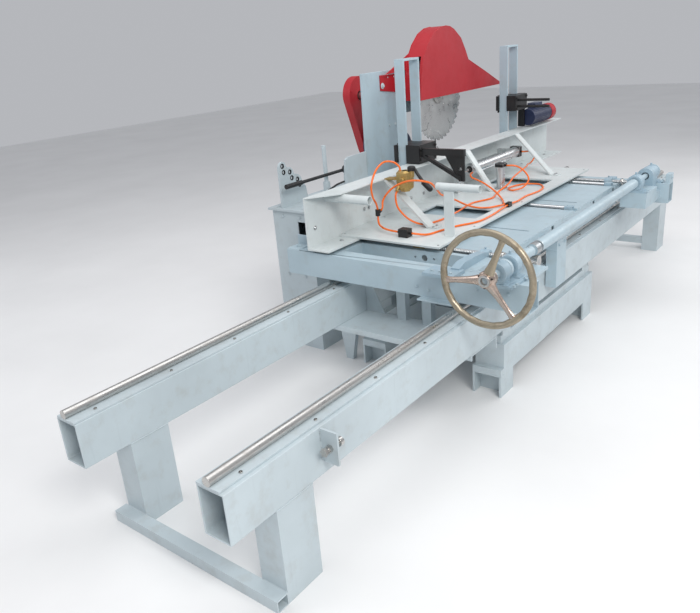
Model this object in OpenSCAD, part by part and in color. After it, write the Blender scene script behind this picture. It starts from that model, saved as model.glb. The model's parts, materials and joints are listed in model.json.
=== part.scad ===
// Sliding table saw for short logs. Millimetres, +Z up, floor at z = 0.
// X = 0 is midway between the two rails, +X is the handwheel side.
// Y = 0 is the centre line of the foot tube at the near end, +Y runs along the rails.

/* [Rails] */
// Outer width of each rail beam
rail_w = 110; // [100:1:112]
// Height of each rail beam
rail_h = 170; // [150:1:175]
// Wall of the rail beams and legs
rail_wall = 6; // [4:1:9]
// Overhang of the rails past the foot tube
rail_start = 156; // [150:1:170]
// Y of the far end of the rails
rail_end = 4284; // [4270:1:4400]
// Radius of the round guide bars on the rails
bar_r = 16; // [15.9:0.05:16]

/* [Carriage] */
// Y of the near face of the near crossbeam
beam_y = 1259; // [1255:1:1262]
// Y of the near face of the far crossbeam
far_beam_y = 3230; // [3228:1:3240]
// Top of the deck
deck_z = 688; // [686:1:688]
// Radius of the chrome guide rods and of the lead screws
rod_r = 12; // [10:1:12]

/* [Handwheel] */
// Outside diameter of the handwheel
wheel_d = 400; // [360:10:420]
// Radius of the rim's section
rim_r = 14; // [11:1:15]

/* [Blades] */
// Diameter of the saw blades
blade_d = 580; // [540:10:580]
// Number of teeth on a blade
blade_teeth = 40; // [30:1:48]

/* [Table] */
// Height of the fence above the table frame's flange
fence_top = 957; // [930:1:957]
// Far end of the fence
fence_end = 4080; // [3900:10:4150]
// Top of the clamp posts
post_top = 1510; // [1490:5:1550]

/* [Hidden] */

rail_z0 = 350;
rail_z1 = rail_z0 + rail_h;
rail_xi = 300;
rail_xo = rail_xi + rail_w;
strip_t = 8;
strip_z = rail_z1 + strip_t;
bar_z = strip_z + 14;
bar_xr = 347;
bar_xl = -363;
wheel_z = bar_z + 44;
roller_y = [1600, 3150];

screw_z = 690;
near_screw_y = 1555;
far_screw_y = 3200;
shaft_x = 537;
shaft_z = 743;
fit = 0.05;

upper_c = [2832, 1265];
lower_c = [2680, 680];
up_motor = [2915, 915];
lo_motor = [2900, 262];
blade_x = -676;

paint = "#bfcbd0";
paint_blue = "#a3bcc9";
cream = "#dfe3df";
steel = "#b9bcc0";
black = "#1d1f22";
red = "#b3202c";
orange = "#f0703a";

// Box from its lowest to its highest corner.
module bx(a, b) translate(a) cube([b[0] - a[0], b[1] - a[1], b[2] - a[2]]);
// Cylinder along X from x0 to x1.
module cx(x0, x1, y, z, r, n = 64) translate([x0, y, z]) rotate([0, 90, 0]) cylinder(h = x1 - x0, r = r, $fn = n);
// Cylinder along Y from y0 to y1.
module cy(y0, y1, x, z, r, n = 64) translate([x, y0, z]) rotate([-90, 0, 0]) cylinder(h = y1 - y0, r = r, $fn = n);
// Cylinder along Z from z0 to z1.
module cz(z0, z1, x, y, r, n = 64) translate([x, y, z0]) cylinder(h = z1 - z0, r = r, $fn = n);
// Profile in the YZ plane extruded along X from x0 to x1.
module yz(x0, x1) translate([x0, 0, 0]) rotate([90, 0, 90]) linear_extrude(x1 - x0) children();
// Profile in the XZ plane extruded along Y from y0 to y1.
module xz(y0, y1) translate([0, y1, 0]) rotate([90, 0, 0]) linear_extrude(y1 - y0) children();
// Flat bar between two points, w wide along Y and t thick.
module flat(a, b, w, t) hull() { translate(a) cube([t, w, t], center = true); translate(b) cube([t, w, t], center = true); }

// Round tube swept along a smooth curve through points, n sides.
function cr(p, i, t) = let(a = p[max(i - 1, 0)], b = p[i], c = p[i + 1], d = p[min(i + 2, len(p) - 1)])
  0.5 * ((2 * b) + (c - a) * t + (2 * a - 5 * b + 4 * c - d) * t * t + (3 * b - a - 3 * c + d) * t * t * t);
function curve(p, k) = concat([for (i = [0:len(p) - 2]) for (j = [0:k - 1]) cr(p, i, j / k)], [p[len(p) - 1]]);
function unit(v) = v / norm(v);
function tangent(q, i) = unit(q[min(i + 1, len(q) - 1)] - q[max(i - 1, 0)]);
function frames(q, i = 0, u = [0, 0, 0]) = i >= len(q) ? [] :
  let(t = tangent(q, i), s = i == 0 ? (abs(t[2]) < 0.8 ? [0, 0, 1] : [1, 0, 0]) : u, v = unit(s - (s * t) * t))
  concat([v], frames(q, i + 1, v));
module hose(p, r, k, n = 8) {
  q = curve(p, k); f = frames(q); m = len(q);
  pts = [for (i = [0:m - 1]) let(t = tangent(q, i), v = f[i], w = cross(t, v)) for (j = [0:n - 1]) q[i] + r * (cos(360 * j / n) * v + sin(360 * j / n) * w)];
  polyhedron(points = pts, faces = concat([[for (j = [n - 1:-1:0]) j]], [[for (j = [0:n - 1]) (m - 1) * n + j]],
    [for (i = [0:m - 2]) for (j = [0:n - 1]) [i * n + j, i * n + (j + 1) % n, (i + 1) * n + (j + 1) % n, (i + 1) * n + j]]), convexity = 8);
}

// ---- rails and base -------------------------------------------------------
module rail_beams() color(paint) for (s = [-1, 1]) scale([s, 1, 1]) difference() {
  bx([rail_xi, -rail_start, rail_z0], [rail_xo, rail_end, rail_z1]);
  bx([rail_xi + rail_wall, -rail_start - 1, rail_z0 + rail_wall], [rail_xo - rail_wall, rail_end + 1, rail_z1 - rail_wall]);
}
module rail_strips() color(paint) {
  bx([rail_xi, -rail_start, rail_z1], [rail_xo - 15, rail_end, strip_z]);
  bx([-rail_xo + 5, -rail_start, rail_z1], [-rail_xi - 5, rail_end, strip_z]);
}
// Round bars on the rails, and the stop bolt with its nuts on the bracket.
module guide_bars() color(steel) {
  for (x = [bar_xr, bar_xl]) difference() {
    cy(-rail_start, rail_end, x, bar_z, bar_r);
    bx([x - 20, -rail_start - 1, bar_z - 20], [x + 20, rail_end + 1, strip_z]);
  }
  stop_bolt();
}
module rail_screws() color("dimgray") for (i = [0:13]) for (x = [381, -394, -325, 314])
  cz(strip_z, strip_z + 4, x, -60 + 325 * i, 6, 16);
module leg(x0, x1, y0, y1, z0 = 0) difference() {
  bx([x0, y0, z0], [x1, y1, rail_z0]);
  bx([x0 + rail_wall, y0 + rail_wall, z0 - 1], [x1 - rail_wall, y1 - rail_wall, rail_z0 + 1]);
}
module rail_legs() color(paint) {
  for (s = [-1, 1]) scale([s, 1, 1]) { leg(rail_xi, rail_xo, 25, 191); leg(rail_xi, rail_xo, 4080, 4246); }
  bx([-rail_xi, 4090, 46], [rail_xi, 4130, 92]);
  // foot tube at the near end
  difference() {
    bx([-425, -25, 0], [411, 25, 45]);
    bx([-426, -21, 4], [412, 21, 41]);
  }
}
module stop_bracket() color(paint) difference() {
  union() { bx([rail_xo, 246, 402], [478, 254, 517]); bx([rail_xo, 254, 402], [rail_xo + 8, 300, 430]); }
  cy(240, 260, 448, 458, 8.5);
}
module stop_bolt() {
  cy(222, 296, 448, 458, 8);
  difference() { cy(212, 222, 448, 458, 15, 6); }
  difference() { cy(233, 246, 448, 458, 14, 6); cy(232, 247, 448, 458, 8); }
  difference() { cy(254, 267, 448, 458, 14, 6); cy(253, 268, 448, 458, 8); }
  difference() { cy(284, 300, 448, 458, 15); cy(283, 296, 448, 458, 8); }
}
module mid_cross_channel() color(paint) {
  difference() {
    bx([-rail_xo, 1228, 290], [rail_xo, 1464, rail_z0]);
    bx([-rail_xo - 1, 1236, 289], [rail_xo + 1, 1456, rail_z0 - 8]);
    bx([-rail_xo - 1, 1227, 289], [rail_xo + 1, 1237, 322]);
  }
  xz(1452, 1460) polygon([[-rail_xi, rail_z0], [-188, rail_z0], [-268, 505], [-rail_xi, 505]]);
  xz(1452, 1460) polygon([[rail_xi, rail_z0], [188, rail_z0], [268, 505], [rail_xi, 505]]);
  bx([-96, 1424, rail_z0], [-46, 1464, 506]);
  bx([46, 1424, rail_z0], [96, 1464, 506]);
}
module h_leg(y0, y1) {
  bx([253, y0, 0], [263, y1, 110]);
  bx([390, y0, 0], [400, y1, 110]);
  bx([263, (y0 + y1) / 2 - 5, 0], [390, (y0 + y1) / 2 + 5, 110]);
}
module base_frame() color(paint) {
  difference() {
    union() {
      for (s = [-1, 1]) scale([s, 1, 1]) {
        bx([253, 1558, 110], [400, 2720, 262]);
        bx([262, 1566, 262], [380, 2712, 300]);
      }
      for (y = [1880, 2480]) bx([-700, y, 150], [253, y + 100, 250]);
    }
    for (s = [-1, 1]) scale([s, 1, 1]) {
      bx([261, 1566, 118], [392, 2721, 254]);
      bx([270, 1574, 254], [372, 2713, 292]);
    }
    for (y = [1880, 2480]) bx([-701, y + 8, 158], [262, y + 92, 242]);
  }
  for (s = [-1, 1]) scale([s, 1, 1]) {
    h_leg(1526, 1660);
    h_leg(2590, 2720);
    bx([253, 1526, 110], [400, 1558, 142]);
    for (y = [1580, 2600]) bx([rail_xi, y, 300], [380, y + 90, rail_z0]);
  }
  bx([-560, 1530, 222], [-400, 1590, 262]);
  xz(1530, 1560) polygon([[-556, 222], [-436, 222], [-478, 0], [-522, 0]]);
}

// ---- saw head -------------------------------------------------------------
module saw_cabinet() color(paint) {
  difference() {
    bx([-974, 1545, 0], [-700, 3100, 792]);
    bx([-968, 1551, 6], [-706, 3094, 793]);
    bx([-797, 1540, 635], [-719, 1560, 737]);
    cx(-710, -690, lower_c[0], lower_c[1], 42);
    cx(-980, -960, lower_c[0], lower_c[1], 42);
  }
  bx([-1290, 2790, 784], [-974, 3040, 792]);
  yz(-1180, -1172) polygon([[2795, 784], [3035, 784], [3035, 700], [2795, 700]]);
  bx([-1172, 2795, 700], [-974, 2803, 784]);
  bx([-1290, 2790, 0], [-1030, 3010, 148]);
}
module cabinet_top() color(paint) {
  difference() {
    bx([-992, 1527, 792], [-690, 3118, 804]);
    bx([-692, 2340, 790], [-680, 3020, 806]);
  }
  yz(-812, -800) polygon([[1984, 804], [1984, 853], [2002, 988], [2026, 1001], [2167, 1003], [2204, 1003], [2204, 804]]);
  cx(-840, -811, 2030, 930, 8);
  cz(804, 1085, -870, 1900, 12, 32);
  cz(804, 880, -870, 1900, 20, 32);
}
module quadrant_plate() color(paint) difference() {
  yz(-906, -894) polygon([[1545, 804], [1545, 1022], [1556, 1042], [1576, 1050], [1596, 1042], [1606, 1016],
    [1636, 1010], [1654, 996], [1660, 972], [1690, 964], [1712, 948], [1722, 920], [1748, 884], [1762, 804]]);
  for (p = [[1574, 1026], [1580, 992], [1628, 986], [1640, 952], [1684, 936], [1698, 904]]) cx(-910, -890, p[0], p[1], 9, 32);
}
module blade_column() color(paint) {
  bx([-812, 2204, 804], [-800, 2547, 1440]);
  difference() {
    bx([-960, 2440, 804], [-812, 2547, 1420]);
    bx([-952, 2448, 803], [-812, 2539, 1412]);
  }
  bx([-960, 2547, 1170], [-812, 2757, 1190]);
  bx([-960, 2547, 1340], [-812, 2757, 1360]);
  bx([-960, 2547, 1190], [-948, 2757, 1340]);
  bx([-824, 2547, 1190], [-812, 2757, 1340]);
}
module spindle_housings() color("slategray") {
  difference() {
    union() {
      cx(-1200, -720, upper_c[0], upper_c[1], 58);
      bx([-960, 2757, 1172], [-812, upper_c[0], 1358]);
      for (x = [-1200, -744]) cx(x, x + 24, upper_c[0], upper_c[1], 74);
    }
    cx(-1201, -719, upper_c[0], upper_c[1], 25 + fit);
  }
  difference() {
    union() {
      cx(-940, -716, lower_c[0], lower_c[1], 58);
      bx([-930, lower_c[0] - 70, 6], [-740, lower_c[0] + 70, lower_c[1]]);
      for (x = [-940, -740]) cx(x, x + 24, lower_c[0], lower_c[1], 72);
    }
    cx(-941, -715, lower_c[0], lower_c[1], 25 + fit);
    bx([-920, lower_c[0] - 60, 5], [-750, lower_c[0] + 60, 600]);
  }
}
hood_o = [[2580, 1250], [2599, 1397], [2625, 1491], [2681, 1567], [2754, 1626], [2827, 1654], [2900, 1662], [2952, 1656],
  [2999, 1639], [3087, 1583], [3144, 1507], [3183, 1446], [3417, 1356], [3659, 1259], [3659, 1250]];
hood_i = [[2584, 1240], [2603, 1396], [2629, 1489], [2684, 1564], [2756, 1622], [2828, 1650], [2900, 1658], [2951, 1652],
  [2997, 1635], [3084, 1580], [3140, 1505], [3180, 1443], [3416, 1352], [3640, 1262], [3640, 1240]];
module blade_hood() color(red) {
  difference() {
    yz(-760, -640) polygon(hood_o);
    yz(-756, -644) polygon(hood_i);
    cx(-770, -750, upper_c[0], upper_c[1], 80);
    bx([-761, upper_c[0] - 80, 1200], [-755, upper_c[0] + 80, upper_c[1]]);
    bx([-688, 2520, 1240], [-660, 2660, 1500]);
  }
  difference() {
    yz(-800, -794) polygon([[2382, 1329], [2381, 1417], [2551, 1412], [2790, 1540], [2790, 1400], [2541, 1308]]);
    cx(-802, -790, 2402, 1356, 9);
  }
  bx([-794, 2700, 1420], [-758, 2790, 1480]);
  yz(-764, -757) polygon([[2390, 1420], [2495, 1460], [2650, 1521], [2650, 1430]]);
}
module guard_2d(a, ra, b, rb) hull() { translate(a) circle(r = ra, $fn = 64); translate(b) circle(r = rb, $fn = 48); }
module belt_guards() {
  color(red) difference() {
    yz(-1346, -1290) guard_2d([upper_c[0], upper_c[1] + 8], 120, up_motor, 72);
    yz(-1343, -1289) guard_2d([upper_c[0], upper_c[1] + 8], 117, up_motor, 69);
  }
  color(paint) difference() {
    yz(-1022, -975) guard_2d(lower_c, 112, lo_motor, 76);
    yz(-1019, -974) guard_2d(lower_c, 109, lo_motor, 73);
    cx(-1030, -1010, lo_motor[0], lo_motor[1], 40);
  }
}
module motor_body(x0, x1, c, foot_z, sx) difference() {
  union() {
    cx(x0, x1, c[0], c[1], 94);
    bx([x0 + 40, c[0] - 88, foot_z], [x1 - 40, c[0] + 88, foot_z + 12]);
    bx([x0 + 50, c[0] - 60, foot_z + 12], [x1 - 50, c[0] + 60, c[1]]);
    bx([x0 + 70, c[0] - 50, c[1] + 60], [x1 - 70, c[0] + 50, c[1] + 124]);
  }
  cx(sx < 0 ? x0 - 1 : x1 - 100, sx < 0 ? x0 + 100 : x1 + 1, c[0], c[1], 19 + fit);
}
module blade_motors() color("#35506b") {
  motor_body(-1284, -1000, up_motor, 792, -1);
  motor_body(-1290, -1030, lo_motor, 148, 1);
}
module drive_belts() color(black) {
  difference() {
    yz(-1332, -1302) guard_2d(upper_c, 94, up_motor, 62);
    yz(-1333, -1301) guard_2d(upper_c, 90.5, up_motor, 58.5);
  }
  difference() {
    yz(-1010, -982) guard_2d(lower_c, 94, lo_motor, 62);
    yz(-1011, -981) guard_2d(lower_c, 90.5, lo_motor, 58.5);
  }
}
module blade_disc(c) {
  n = blade_teeth; r = blade_d / 2;
  difference() {
    translate([blade_x, c[0], c[1]]) rotate([0, 90, 0]) linear_extrude(4)
      polygon([for (i = [0:n - 1]) for (j = [0:2]) let(a = 360 * (i + [0, 0.35, 0.6][j]) / n, q = [r, r - 18, r - 4][j]) [q * cos(a), q * sin(a)]]);
    cx(blade_x - 1, blade_x + 5, c[0], c[1], 25);
    for (k = [0:3]) cx(blade_x - 1, blade_x + 5, c[0] + 95 * cos(45 + 90 * k), c[1] + 95 * sin(45 + 90 * k), 7, 32);
  }
}
module upper_blade() color("silver") blade_disc(upper_c);
module lower_blade() color("silver") blade_disc(lower_c);
module pulley(x0, x1, c, r) difference() {
  cx(x0, x1, c[0], c[1], r);
  for (s = [0, 1]) translate([s ? x1 + 1 : x0 - 1, c[0], c[1]]) rotate([0, s ? -90 : 90, 0]) rotate_extrude($fn = 64)
    translate([34, 0]) square([r - 46, 7]);
}
module spindle(c, xe) {
  cx(xe, blade_x + 12, c[0], c[1], 25);
  difference() { union() {
    cx(blade_x - 12, blade_x, c[0], c[1], 60);
    cx(blade_x + 4, blade_x + 12, c[0], c[1], 60);
    cx(blade_x + 12, blade_x + 26, c[0], c[1], 27, 6); }
    cx(blade_x - 13, blade_x + 12, c[0], c[1], 25); }
}
module upper_spindle() color(steel) { spindle(upper_c, -1335); pulley(-1333, -1301, upper_c, 90); }
module lower_spindle() color(steel) { spindle(lower_c, -1013); pulley(-1011, -981, lower_c, 90); }
module upper_motor_pulley() color(steel) { cx(-1335, -1190, up_motor[0], up_motor[1], 19); pulley(-1333, -1301, up_motor, 58); }
module lower_motor_pulley() color(steel) { cx(-1125, -979, lo_motor[0], lo_motor[1], 19); pulley(-1011, -981, lo_motor, 58); }
module brake_lever() color(black) {
  difference() {
    union() {
      cy(1516, 2012, -826, 930, 9, 32);
      cy(1516, 1640, -826, 930, 13, 32);
      cx(-838, -813, 2030, 930, 22);
    }
    cx(-841, -810, 2030, 930, 8 + fit);
  }
}

// ---- carriage ---------------------------------------------------------------
module near_crossbeam() color(paint_blue) {
  difference() {
    bx([-623, beam_y, 565], [650, 1348, deck_z]);
    bx([-624, beam_y + 6, 571], [651, 1342, deck_z - 6]);
  }
  bx([149, 1224, 557], [322, 1340, 565]);
  difference() {
    union() { bx([-618, 1262, deck_z], [-545, 1346, 694]); bx([-618, 1340, 694], [-545, 1346, 742]); }
    cz(680, 700, -582, 1298, 7, 32);
  }
}
module far_crossbeam() color(paint_blue) {
  difference() {
    bx([-623, far_beam_y, 570], [657, far_beam_y + 89, deck_z]);
    bx([-624, far_beam_y + 6, 576], [658, far_beam_y + 83, deck_z - 6]);
  }
  difference() {
    union() {
      bx([465, 2936, 600], [610, far_beam_y, 650]);
      bx([465, 2936, 650], [610, 3150, deck_z]);
    }
    bx([471, 2942, 599], [604, 3144, deck_z - 6]);
    bx([471, 3144, 599], [604, far_beam_y - 6, 644]);
  }
  difference() {
    bx([630, far_beam_y + 10, deck_z], [657, far_beam_y + 80, 742]);
    cx(620, 660, far_beam_y + 45, 720, 9, 32);
  }
}
module side_beam(x, outer) difference() {
  bx([x - 30, 1348, 566], [x + 30, far_beam_y, deck_z - 12]);
  bx([x - 24, 1354, 565], [x + 24, far_beam_y - 6, deck_z - 18]);
  for (y = roller_y) cx(x - 31, x + 31, y, wheel_z, 8, 48);
  if (outer) for (y = [2157, 2751, 3089]) bx([x + 20, y - 17, 636], [x + 31, y + 17, deck_z - 11]);
}
module side_beams() color(paint_blue) {
  side_beam(bar_xr, true);
  side_beam(bar_xl, false);
}
slat = [[1502, 1525], [1585, 1976], [1990, 2440], [2490, 2606], [2620, 3075], [3125, 3168]];
module deck_plates() color(paint_blue) {
  for (s = slat) bx([-393, s[0], deck_z - 12], [378, s[1], deck_z]);
  bx([317, 1348, deck_z - 12], [378, 1502, deck_z]);
  bx([-393, 1348, deck_z - 12], [-333, 1502, deck_z]);
  bx([326, 1976, deck_z - 12], [378, 1990, deck_z]);
  bx([330, 2606, deck_z - 12], [378, 2620, deck_z]);
  difference() {
    bx([-333, 1494, 576], [317, 1502, deck_z]);
    cy(1490, 1506, 27, 654, 16);
    for (x = [-24, 78]) cy(1490, 1506, x, 654, 6, 32);
  }
  bx([485, 1348, 676], [617, 1515, deck_z]);
}
module guide_rods() color(steel) for (y = [2465, 3100]) {
  cx(-386, 356, y, screw_z, rod_r);
}
module pedestal(y0, y1) difference() {
  union() {
    bx([shaft_x - 52, y0, deck_z], [shaft_x + 52, y1, deck_z + 14]);
    cy(y0 + 6, y1 - 6, shaft_x, shaft_z, 44);
    bx([shaft_x - 36, y0 + 6, deck_z + 14], [shaft_x + 36, y1 - 6, shaft_z]);
    for (x = [shaft_x - 70, shaft_x + 52]) bx([x, y0, deck_z], [x + 18, y1, deck_z + 8]);
  }
  cy(y0 - 1, y1 + 1, shaft_x, shaft_z, 20 + fit);
}
module screw_bearing(y) difference() {
  cx(290, 330, y, screw_z, 24);
  bx([289, y - 30, 660], [331, y + 30, 676]);
  cx(289, 331, y, screw_z, rod_r + fit);
}
// Block that holds the end of a guide rod on the deck.
module rod_block(x0, x1, y) difference() {
  bx([x0, y - 22, 676], [x1, y + 22, 703]);
  cx(x0 - 1, x1 + 1, y, screw_z, rod_r);
}
module bearing_castings() color("#9db3c0") {
  // screw bearings on the handwheel side and end blocks on the other side
  for (y = [near_screw_y, far_screw_y]) {
    screw_bearing(y);
    difference() {
      bx([-392, y - 22, 676], [-366, y + 22, 703]);
      cx(-393, -365, y, screw_z, rod_r + fit);
    }
  }
  // swept arm from the crossbeam to the near screw bearing
  difference() {
    union() {
      bx([200, 1195, deck_z], [345, 1300, deck_z + 14]);
      yz(290, 330) polygon([[1280, deck_z], [1538, deck_z], [1538, 708], [1500, 716], [1420, 722], [1330, 722], [1280, 708]]);
    }
    for (x = [230, 270]) cz(680, 710, x, 1226, 7, 32);
  }
  for (y = [2465, 3100]) { rod_block(-392, -372, y); rod_block(322, 362, y); }
  bx([shaft_x - 70, 1190, deck_z], [shaft_x + 70, 1346, deck_z + 9]);
  pedestal(1190, 1250);
  pedestal(1300, 1346);
  pedestal(2936, 2996);
  pedestal(3236, 3290);
  bx([290, 3222, deck_z], [330, 3300, deck_z + 14]);
  // domed cover over the far gears, open below
  difference() {
    union() {
      cy(3150, 3230, shaft_x, shaft_z, 46);
      bx([shaft_x - 46, 3150, 650], [shaft_x + 46, 3230, shaft_z]);
    }
    cy(3156, 3226, shaft_x, shaft_z, 38);
    bx([shaft_x - 38, 3156, 649], [shaft_x + 38, 3226, shaft_z]);
    bx([shaft_x - 38, 3156, 649], [shaft_x + 38, 3231, 720]);
    cy(3140, 3240, shaft_x, shaft_z, 22);
    cx(shaft_x - 50, shaft_x - 30, far_screw_y, screw_z, 20);
  }
}
module retainer_post() color(paint_blue) {
  bx([377, 1986, 604], [470, 2105, 650]);
  bx([415, 1986, 412], [470, 2105, 604]);
}
module roller_axles() color(steel) for (x = [bar_xr, bar_xl]) for (y = roller_y) {
  cx(x - 30, x + 30, y, wheel_z, 8);
  cx(x + 30, x + 38, y, wheel_z, 13, 6);
  cx(x - 38, x - 30, y, wheel_z, 13, 6);
}
module roller(x, y) color(steel) translate([x, y, wheel_z]) rotate([0, 90, 0]) difference() {
  rotate_extrude($fn = 96) difference() {
    translate([8 + fit, -20]) square([30 - fit, 40]);
    translate([44, 0]) circle(r = bar_r + 0.3, $fn = 64);
  }
}
module front_left_roller() roller(bar_xl, roller_y[0]);
module front_right_roller() roller(bar_xr, roller_y[0]);
module rear_left_roller() roller(bar_xl, roller_y[1]);
module rear_right_roller() roller(bar_xr, roller_y[1]);

// ---- handwheel, shaft and screws --------------------------------------------
module handwheel() color("#a58b63") difference() {
  union() {
    translate([shaft_x, 1119, shaft_z]) rotate([90, 0, 0]) rotate_extrude($fn = 96) translate([wheel_d / 2 - rim_r, 0]) circle(r = rim_r, $fn = 32);
    cy(1098, 1152, shaft_x, shaft_z, 36);
    for (a = [68, 188, 308]) translate([shaft_x, 1119, shaft_z]) rotate([0, -a, 0]) translate([28, -8, -13]) cube([wheel_d / 2 - 28 - rim_r * 1.4, 16, 26]);
  }
  cy(1090, 1160, shaft_x, shaft_z, 15);
}
module link_shaft() color("lightsteelblue") {
  cy(1108, 3312, shaft_x, shaft_z, 15);
  difference() {
    union() {
      cy(1152, 1400, shaft_x, shaft_z, 20);
      cy(1256, 1272, shaft_x, shaft_z, 40);
      cy(1400, 1520, shaft_x, shaft_z, 22);
      cy(1532, 1578, shaft_x, shaft_z, 26.3);
      cy(1592, 2926, shaft_x, shaft_z, 27);
      cy(2926, 3006, shaft_x, shaft_z, 20);
      cy(3177, 3223, shaft_x, shaft_z, 26.3);
      cy(3230, 3296, shaft_x, shaft_z, 20);
      cy(3296, 3308, shaft_x, shaft_z, 44);
    }
    cy(1100, 3320, shaft_x, shaft_z, 15);
  }
}
module lead_screw(y) {
  cx(-392, 562, y, screw_z, rod_r);
  difference() {
    union() { cx(shaft_x - 23, shaft_x + 23, y, screw_z, 26.3); cx(384, 402, y, screw_z, 20); }
    cx(-400, 570, y, screw_z, rod_r);
  }
}
module near_lead_screw() color(steel) lead_screw(near_screw_y);
module far_lead_screw() color(steel) lead_screw(far_screw_y);

// ---- cross-sliding table -------------------------------------------------------
module table_frame() color(cream) difference() {
  bx([-460, 1475, 712], [118, 3400, 722]);
  bx([-330, 1990, 711], [30, 2200, 723]);
  bx([-330, 2800, 711], [30, 3010, 723]);
  for (p = [[-160, 2675]]) cz(700, 730, p[0], p[1], 10, 48);
}
module fence() color(cream) difference() {
  union() {
    bx([-466, 1239, 704], [-460, fence_end, fence_top]);
    translate([0, 0, fence_top - 6]) linear_extrude(6) polygon([[-460, 1239], [-350, 1376], [-350, fence_end], [-460, fence_end]]);
    bx([-460, 1239, 704], [-337, fence_end, 712]);
  }
  for (y = [1300, 1700, 1740]) cx(-470, -455, y, 800, 9, 32);
}
module fence_braces() color(cream) {
  flat([-346, 1764, 948], [-100, 1764, 726.2], 55, 8);
  flat([-346, 2612, 948], [-184, 2606, 726.2], 50, 8);
  flat([-346, 3300, 948], [-36, 3150, 726.2], 50, 8);
  for (p = [[-100, 1764], [-184, 2606], [-36, 3150]]) bx([p[0] - 4, p[1] - 27, 722], [p[0] + 50, p[1] + 27, 728]);
}
module push_tubes() color(cream) {
  difference() { cx(-460, -200, 1404, 928, 21); cx(-440, -199, 1404, 928, 18); }
  difference() { cx(10, 235, 1654, 958, 18); cx(9, 236, 1654, 958, 15); }
  difference() { bx([46, 1650, 722], [98, 1658, 958]); cx(9, 236, 1654, 958, 18); }
}
module post(y0, y1) {
  bx([-525, y0, 704], [-466, y0 + 12, post_top]);
  bx([-525, y1 - 12, 704], [-466, y1, post_top]);
  bx([-525, y0 + 12, post_top - 12], [-466, y1 - 12, post_top]);
  bx([-525, y0 + 12, 704], [-466, y1 - 12, 716]);
}
module clamp_posts() color(paint) { post(2136, 2295); post(3402, 3562); }
module lead_nuts() color("#b08d57") {
  for (y = [near_screw_y, far_screw_y]) difference() {
    bx([-60, y - 22, 674], [0, y + 22, 712]);
    cx(-61, 1, y, screw_z, rod_r + fit);
  }
  for (y = [2465, 3100]) for (x = [-280, -14]) difference() {
    bx([x, y - 22, 674], [x + 70, y + 22, 712]);
    cx(x - 1, x + 71, y, screw_z, rod_r + fit);
  }
}
module clamp_cylinder() color("gainsboro") {
  difference() {
    union() {
      cy(2617, 3254, -330, 845, 32);
      bx([-356, 2600, 817], [-304, 2640, 873]);
      bx([-364, 3230, 811], [-296, 3270, 879]);
    }
    cy(2641, 3229, -330, 845, 28);
    cy(2590, 2645, -330, 845, 9 + fit);
  }
  bx([-460, 2604, 830], [-356, 2636, 860]);
  bx([-460, 3234, 830], [-364, 3266, 860]);
  difference() { bx([-356, 2481, 722], [-344, 2556, 886]); cx(-360, -340, 2500, 859, 9, 32); }
}
module push_rod() color(steel) {
  cy(2470, 3180, -330, 845, 9);
  cy(3180, 3216, -330, 845, 28 - fit);
  difference() { bx([-342, 2430, 827], [-318, 2490, 863]); cy(2469, 2491, -330, 845, 9); cx(-343, -317, 2446, 845, 7, 32); }
}
module lock_cylinder() color("gainsboro") {
  difference() { bx([-188, 2647, 722], [-132, 2703, 734]); cz(721, 735, -160, 2675, 8); }
  cz(734, 852, -160, 2675, 25);
  bx([-187, 2648, 852], [-133, 2702, 876]);
  cz(700, 734, -160, 2675, 8);
  cz(694, 700, -160, 2675, 14);
}
module control_valve() color("#b99a55") {
  bx([-350, 1740, 952.5], [-270, 1788, 958.5]);
  cz(912, 992, -240, 1764, 44, 8);
  cz(992, 1000, -200, 1764, 12, 48);
  cz(968, 994, -200, 1764, 13, 48);
  cz(980, 1000, -268, 1764, 8, 24);
  cy(1708, 1740, -226, 962, 8, 24);
  translate([-256, 1735, 930]) rotate([135, 0, 0]) cylinder(h = 38, r = 8, $fn = 24);
  cz(896, 914, -240, 1764, 26, 6);
}
module valve_lever() color(black) {
  cz(1000.4, 1018, -200, 1764, 20, 48);
  hull() { cz(1002, 1014, -180, 1764, 6, 24); translate([-164, 1764, 984]) sphere(r = 8, $fn = 24); }
  hull() { translate([-164, 1764, 984]) sphere(r = 8, $fn = 24); translate([-136, 1764, 950]) sphere(r = 8, $fn = 24); }
  hull() { translate([-130, 1764, 944]) sphere(r = 13, $fn = 24); translate([-96, 1764, 915]) sphere(r = 14, $fn = 24); }
}
module hose_fittings() color(black) {
  bx([-150, 1546, 722], [-98, 1590, 762]);
  cx(-98, -84, 1568, 742, 7, 24);
  cx(-164, -150, 1568, 742, 7, 24);
  // branch fitting round the first hose
  difference() {
    union() {
      cz(790, 822, -330, 1638, 12, 32);
      translate([-330, 1638, 800]) rotate([0, 45, 0]) cylinder(h = 30, r = 8, $fn = 32);
    }
    cz(780, 832, -330, 1638, 6.4, 32);
  }
  // tee on the table
  difference() {
    bx([66, 2262, 722], [88, 2302, 746]);
    cy(2260, 2304, 77, 733, 6.4, 32);
  }
  cx(-133, -122, 2675, 864, 7, 24);
  cx(-296, -286, 3252, 845, 7, 24);
}
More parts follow.
